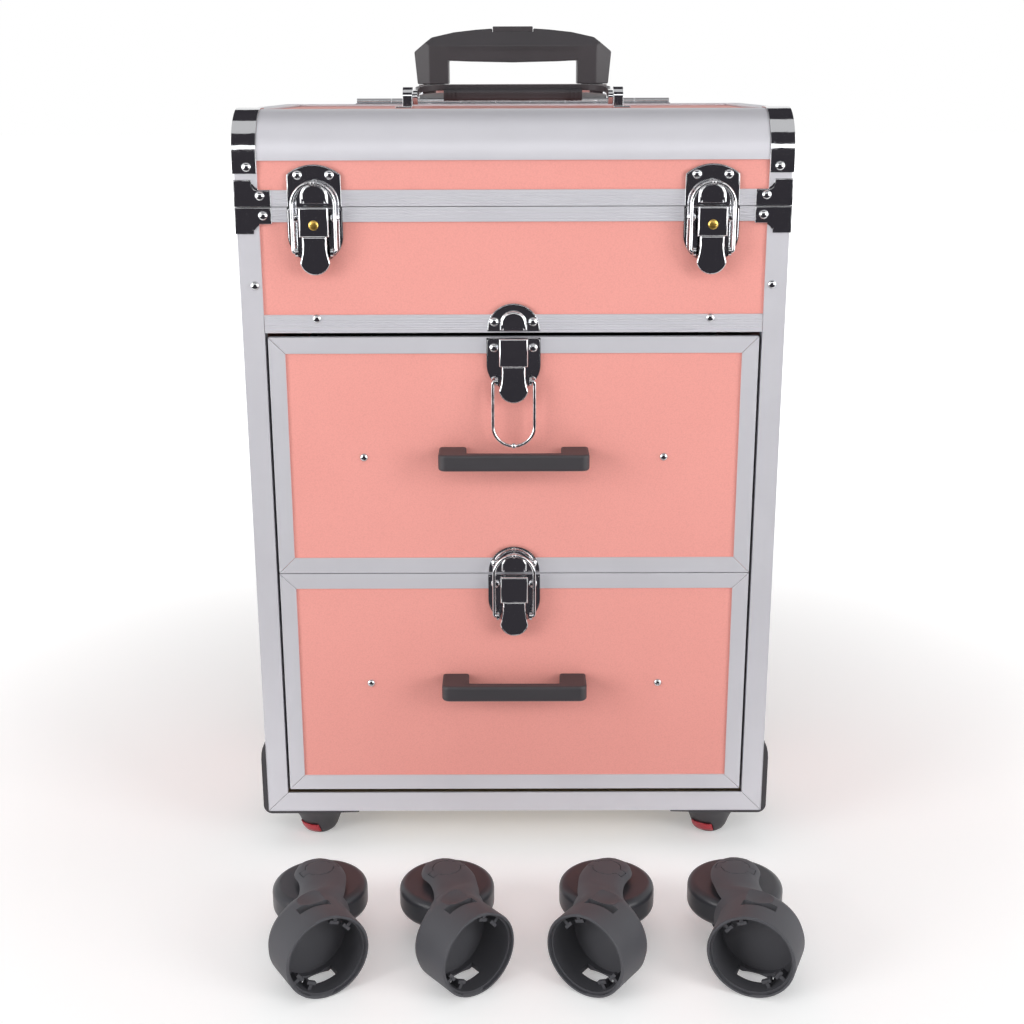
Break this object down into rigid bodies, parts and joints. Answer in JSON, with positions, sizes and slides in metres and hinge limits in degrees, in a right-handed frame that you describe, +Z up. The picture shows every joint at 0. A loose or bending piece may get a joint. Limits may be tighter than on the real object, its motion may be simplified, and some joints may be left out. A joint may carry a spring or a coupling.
{
  "type": "rolling makeup storage case",
  "caption": "Aluminium-framed rolling makeup case with hinged lid, two latched drawers, telescopic trolley handle, and plug-in casters lying taken off in front.",
  "frame": {"origin": "on the floor, under the middle of the whole bounding box", "axes": "+Z up, the drawers and lid latches face -Y, +X to the right seen from the front"},
  "size_m": [0.377, 0.4835, 0.6001],
  "materials": {
    "aluminium": "matte anodised, finely fluted",
    "bright_steel": "polished chrome plate",
    "pink_board": "fine-textured salmon-pink laminate over board",
    "board": "plain fibreboard with a black lining",
    "black_plastic": "charcoal moulded plastic",
    "lining": "black lined board",
    "red_plastic": "red moulded plastic",
    "lock_brass": "polished brass",
    "zinc_steel": "zinc-plated steel",
    "wheel_rubber": "smooth black wheel"
  },
  "bodies": {
    "case": {"case_frame": "aluminium", "body_panels": "pink_board", "floor_boards": "board", "base_corner_plates": "bright_steel", "corner_guards": "black_plastic", "lid_latch_plates": "bright_steel", "drawer_1_keeper": "bright_steel", "case_rivets": "bright_steel", "runner_channels": "zinc_steel", "case_hinge_leaf": "zinc_steel", "trolley_outer_tubes": "aluminium", "trolley_brackets": "black_plastic", "caster_forks": "black_plastic"},
    "lid": {"lid_panels": "pink_board", "lid_frame": "aluminium", "lid_corner_caps": "bright_steel", "lid_keepers": "bright_steel", "lid_rivets": "bright_steel", "carry_brackets": "bright_steel", "lid_hinge_leaf": "zinc_steel"},
    "carry_handle": {"carry_strap": "bright_steel", "carry_grip": "black_plastic"},
    "drawer_1": {"drawer_1_panel": "pink_board", "drawer_1_frame": "aluminium", "drawer_1_box": "lining", "drawer_1_pull": "black_plastic", "drawer_1_slides": "zinc_steel", "drawer_1_latch_plates": "bright_steel"},
    "drawer_2": {"drawer_2_panel": "pink_board", "drawer_2_frame": "aluminium", "drawer_2_box": "lining", "drawer_2_pull": "black_plastic", "drawer_2_slides": "zinc_steel", "drawer_2_latch_plates": "bright_steel"},
    "trolley_handle": {"trolley_inner_tubes": "aluminium", "trolley_grip": "black_plastic"},
    "trolley_middle": {"trolley_middle_tubes": "aluminium"},
    "trolley_button": {"trolley_button": "black_plastic"},
    "lid_lever_left": {"lid_lever_left": "bright_steel"},
    "lid_lever_right": {"lid_lever_right": "bright_steel"},
    "lid_bail_left": {"lid_bail_left": "bright_steel"},
    "lid_bail_right": {"lid_bail_right": "bright_steel"},
    "key_cylinder_left": {"key_cylinder_left": "lock_brass"},
    "key_cylinder_right": {"key_cylinder_right": "lock_brass"},
    "drawer_1_lever": {"drawer_1_lever": "bright_steel"},
    "drawer_2_lever": {"drawer_2_lever": "bright_steel"},
    "drawer_1_bail": {"drawer_1_bail": "bright_steel"},
    "drawer_2_bail": {"drawer_2_bail": "bright_steel"},
    "hub_front_left": {"hub_front_left": "black_plastic"},
    "hub_front_right": {"hub_front_right": "black_plastic"},
    "hub_rear_left": {"hub_rear_left": "black_plastic"},
    "hub_rear_right": {"hub_rear_right": "black_plastic"},
    "release_front_left": {"release_front_left": "red_plastic"},
    "release_front_right": {"release_front_right": "red_plastic"},
    "release_rear_left": {"release_rear_left": "red_plastic"},
    "release_rear_right": {"release_rear_right": "red_plastic"},
    "caster_wheel_1": {"caster_wheel_1": "wheel_rubber"},
    "caster_wheel_2": {"caster_wheel_2": "wheel_rubber"},
    "caster_wheel_3": {"caster_wheel_3": "wheel_rubber"},
    "caster_wheel_4": {"caster_wheel_4": "wheel_rubber"}
  },
  "joints": [
    {"name": "lid_hinge", "type": "hinge", "parent": "case", "child": "lid", "pos_m": [0, 0.19776, 0.542], "axis": [-1, 0, 0], "range_deg": [0, 82]},
    {"name": "carry_handle_fold", "type": "hinge", "parent": "lid", "child": "carry_handle", "pos_m": [0, 0.08476, 0.5461], "axis": [-1, 0, 0], "range_deg": [-84, 0]},
    {"name": "drawer_1_slide", "type": "slide", "parent": "case", "child": "drawer_1", "axis": [0, -1, 0], "range_m": [0, 0.13]},
    {"name": "drawer_2_slide", "type": "slide", "parent": "case", "child": "drawer_2", "axis": [0, -1, 0], "range_m": [0, 0.13]},
    {"name": "lid_lever_left_flip", "type": "hinge", "parent": "case", "child": "lid_lever_left", "pos_m": [-0.1324, -0.04324, 0.4746], "axis": [-1, 0, 0], "range_deg": [0, 90]},
    {"name": "lid_bail_left_swing", "type": "hinge", "parent": "case", "child": "lid_bail_left", "pos_m": [-0.1324, -0.04544, 0.4481], "axis": [1, 0, 0], "range_deg": [0, 178]},
    {"name": "key_left_turn", "type": "hinge", "parent": "lid_lever_left", "child": "key_cylinder_left", "pos_m": [-0.1324, -0.04724, 0.4661], "axis": [0, 1, 0], "range_deg": [0, 90]},
    {"name": "lid_lever_right_flip", "type": "hinge", "parent": "case", "child": "lid_lever_right", "pos_m": [0.1324, -0.04324, 0.4746], "axis": [-1, 0, 0], "range_deg": [0, 90]},
    {"name": "lid_bail_right_swing", "type": "hinge", "parent": "case", "child": "lid_bail_right", "pos_m": [0.1324, -0.04544, 0.4481], "axis": [1, 0, 0], "range_deg": [0, 178]},
    {"name": "key_right_turn", "type": "hinge", "parent": "lid_lever_right", "child": "key_cylinder_right", "pos_m": [0.1324, -0.04724, 0.4661], "axis": [0, 1, 0], "range_deg": [0, 90]},
    {"name": "drawer_1_lever_flip", "type": "hinge", "parent": "drawer_1", "child": "drawer_1_lever", "pos_m": [0, -0.04324, 0.3868], "axis": [-1, 0, 0], "range_deg": [0, 90]},
    {"name": "drawer_2_lever_flip", "type": "hinge", "parent": "drawer_2", "child": "drawer_2_lever", "pos_m": [0, -0.04324, 0.2162], "axis": [-1, 0, 0], "range_deg": [0, 90]},
    {"name": "drawer_1_bail_swing", "type": "hinge", "parent": "drawer_1", "child": "drawer_1_bail", "pos_m": [0, -0.04544, 0.3603], "axis": [-1, 0, 0], "range_deg": [0, 180]},
    {"name": "drawer_2_bail_swing", "type": "hinge", "parent": "drawer_2", "child": "drawer_2_bail", "pos_m": [0, -0.04544, 0.1897], "axis": [1, 0, 0], "range_deg": [0, 178]},
    {"name": "hub_front_left_swivel", "type": "hinge", "parent": "case", "child": "hub_front_left", "pos_m": [-0.1508, -0.00524, 0.011], "axis": [0, 0, 1], "continuous": true},
    {"name": "release_front_left_press", "type": "slide", "parent": "hub_front_left", "child": "release_front_left", "axis": [0.5736, 0.8192, 0], "range_m": [0, 0.003], "stiffness_N_per_m": 400},
    {"name": "hub_front_right_swivel", "type": "hinge", "parent": "case", "child": "hub_front_right", "pos_m": [0.1508, -0.00524, 0.011], "axis": [0, 0, 1], "continuous": true},
    {"name": "release_front_right_press", "type": "slide", "parent": "hub_front_right", "child": "release_front_right", "axis": [0.5736, 0.8192, 0], "range_m": [0, 0.003], "stiffness_N_per_m": 400},
    {"name": "hub_rear_left_swivel", "type": "hinge", "parent": "case", "child": "hub_rear_left", "pos_m": [-0.1508, 0.18076, 0.011], "axis": [0, 0, 1], "continuous": true},
    {"name": "release_rear_left_press", "type": "slide", "parent": "hub_rear_left", "child": "release_rear_left", "axis": [0.5736, 0.8192, 0], "range_m": [0, 0.003], "stiffness_N_per_m": 400},
    {"name": "hub_rear_right_swivel", "type": "hinge", "parent": "case", "child": "hub_rear_right", "pos_m": [0.1508, 0.18076, 0.011], "axis": [0, 0, 1], "continuous": true},
    {"name": "release_rear_right_press", "type": "slide", "parent": "hub_rear_right", "child": "release_rear_right", "axis": [0.5736, 0.8192, 0], "range_m": [0, 0.003], "stiffness_N_per_m": 400},
    {"name": "caster_wheel_1_spin", "type": "hinge", "parent": "case", "child": "caster_wheel_1", "pos_m": [-0.132, -0.15024, 0.0285], "axis": [0, 0, 1], "continuous": true},
    {"name": "caster_wheel_2_spin", "type": "hinge", "parent": "case", "child": "caster_wheel_2", "pos_m": [-0.046, -0.15024, 0.0285], "axis": [0, 0, 1], "continuous": true},
    {"name": "caster_wheel_3_spin", "type": "hinge", "parent": "case", "child": "caster_wheel_3", "pos_m": [0.062, -0.15024, 0.0285], "axis": [0, 0, 1], "continuous": true},
    {"name": "caster_wheel_4_spin", "type": "hinge", "parent": "case", "child": "caster_wheel_4", "pos_m": [0.149, -0.15024, 0.0285], "axis": [0, 0, 1], "continuous": true},
    {"name": "trolley_handle_slide", "type": "slide", "parent": "case", "child": "trolley_handle", "axis": [0, 0, 1], "range_m": [0, 0.4]},
    {"name": "trolley_middle_slide", "type": "slide", "parent": "case", "child": "trolley_middle", "axis": [0, 0, 1], "range_m": [0, 0.2]},
    {"name": "trolley_button_press", "type": "slide", "parent": "trolley_handle", "child": "trolley_button", "axis": [0, 0, -1], "range_m": [0, 0.004], "stiffness_N_per_m": 500}
  ],
  "couplings": [
    {"joint": "lid_bail_left_swing", "follows": "lid_hinge", "ratio": 2.17},
    {"joint": "lid_bail_right_swing", "follows": "lid_hinge", "ratio": 2.17},
    {"joint": "drawer_2_bail_swing", "follows": "drawer_1_slide", "rad_per_m": 23.8},
    {"joint": "trolley_middle_slide", "follows": "trolley_handle_slide", "ratio": 0.5}
  ]
}
